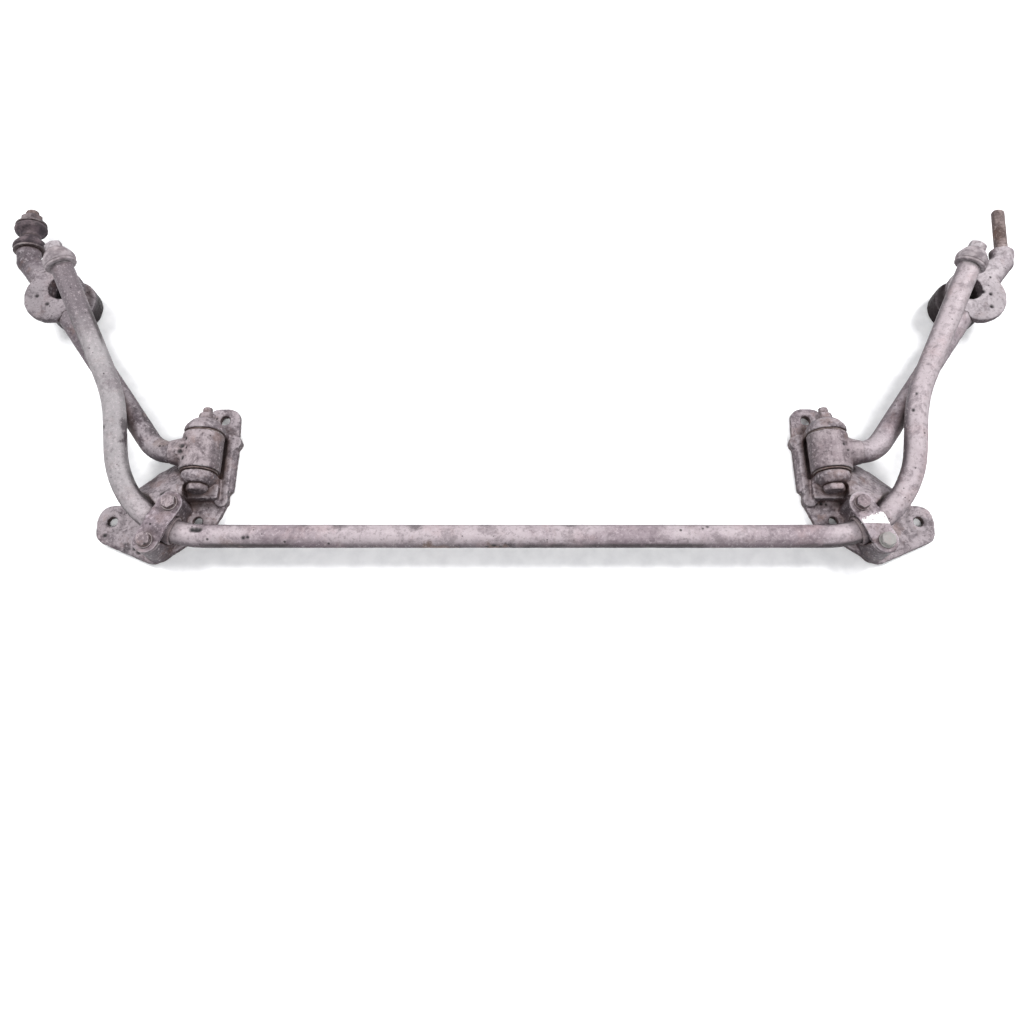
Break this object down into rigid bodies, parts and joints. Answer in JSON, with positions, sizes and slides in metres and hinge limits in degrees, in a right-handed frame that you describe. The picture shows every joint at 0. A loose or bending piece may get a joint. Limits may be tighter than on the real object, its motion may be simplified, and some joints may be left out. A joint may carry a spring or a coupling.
{
  "type": "anti-roll bar assembly",
  "caption": "Car front anti-roll bar bent up at both ends, held by cast brackets with diagonal clamp straps that also carry swinging control arms with ring ends and threaded studs.",
  "frame": {"origin": "midway between the inner bolt holes of the two brackets, on the face that bolts to the vehicle frame", "axes": "+X along the bar to the right bracket, +Y towards the free ends of the arms, +Z away from the mounting face"},
  "size_m": [1.2428, 0.4451, 0.1114],
  "materials": {
    "spring_steel": "dull bare spring steel, dusty and lightly pitted",
    "forged_steel": "forged and welded steel, dusty, grimy in the hollows",
    "cast_steel": "rough casting, dusty grey with rust in the corners",
    "pressed_steel": "pressed strap, dusty, with a worn white paint mark",
    "fasteners": "weathered plated steel",
    "rusty_steel": "brown surface rust",
    "rubber": "perished black rubber with brown dust",
    "dusty_rubber": "rubber under a thick coat of grey road dust"
  },
  "bodies": {
    "brackets": {"left_bracket": "cast_steel", "left_clamp_strap": "pressed_steel", "left_clamp_bolts": "fasteners", "left_clamp_washers": "fasteners", "left_bar_bush": "rubber", "left_pivot_bolt": "fasteners", "left_pivot_nut": "fasteners", "left_pivot_washers": "rusty_steel", "left_pivot_inner_sleeve": "rusty_steel", "right_bracket": "cast_steel", "right_clamp_strap": "pressed_steel", "right_clamp_bolts": "fasteners", "right_clamp_washers": "fasteners", "right_bar_bush": "rubber", "right_pivot_bolt": "fasteners", "right_pivot_nut": "fasteners", "right_pivot_washers": "rusty_steel", "right_pivot_inner_sleeve": "rusty_steel"},
    "bar": {"anti_roll_bar": "spring_steel", "left_bar_end_washer": "fasteners", "left_bar_end_bush": "dusty_rubber", "left_bar_end_nut": "fasteners", "right_bar_end_washer": "fasteners", "right_bar_end_bush": "dusty_rubber", "right_bar_end_nut": "fasteners"},
    "left_arm": {"left_arm_eye": "forged_steel", "left_arm_tube": "forged_steel", "left_ring_forging": "forged_steel", "left_pivot_rubber": "rubber", "left_pivot_outer_sleeve": "rusty_steel", "left_damper_stud": "rusty_steel", "left_damper_bush_inner": "rubber", "left_damper_bush_outer": "rubber", "left_damper_washers": "rusty_steel", "left_damper_nut": "fasteners"},
    "right_arm": {"right_arm_eye": "forged_steel", "right_arm_tube": "forged_steel", "right_ring_forging": "forged_steel", "right_pivot_rubber": "rubber", "right_pivot_outer_sleeve": "rusty_steel", "right_damper_stud": "rusty_steel"}
  },
  "joints": [
    {"name": "bar_swing", "type": "hinge", "parent": "brackets", "child": "bar", "pos_m": [0, -0.01166, 0.0302], "axis": [1, 0, 0], "range_deg": [-10, 12], "deforming": ["left_bar_bush", "right_bar_bush"]},
    {"name": "left_arm_swing", "type": "hinge", "parent": "brackets", "child": "left_arm", "pos_m": [-0.3507, 0.0715, 0.032], "axis": [0, 1, 0], "range_deg": [-16, 19.2]},
    {"name": "right_arm_swing", "type": "hinge", "parent": "brackets", "child": "right_arm", "pos_m": [0.3507, 0.0715, 0.032], "axis": [0, -1, 0], "range_deg": [-16, 19.2]}
  ],
  "couplings": [
    {"joint": "left_arm_swing", "follows": "bar_swing", "ratio": 1.6},
    {"joint": "right_arm_swing", "follows": "bar_swing", "ratio": 1.6}
  ]
}
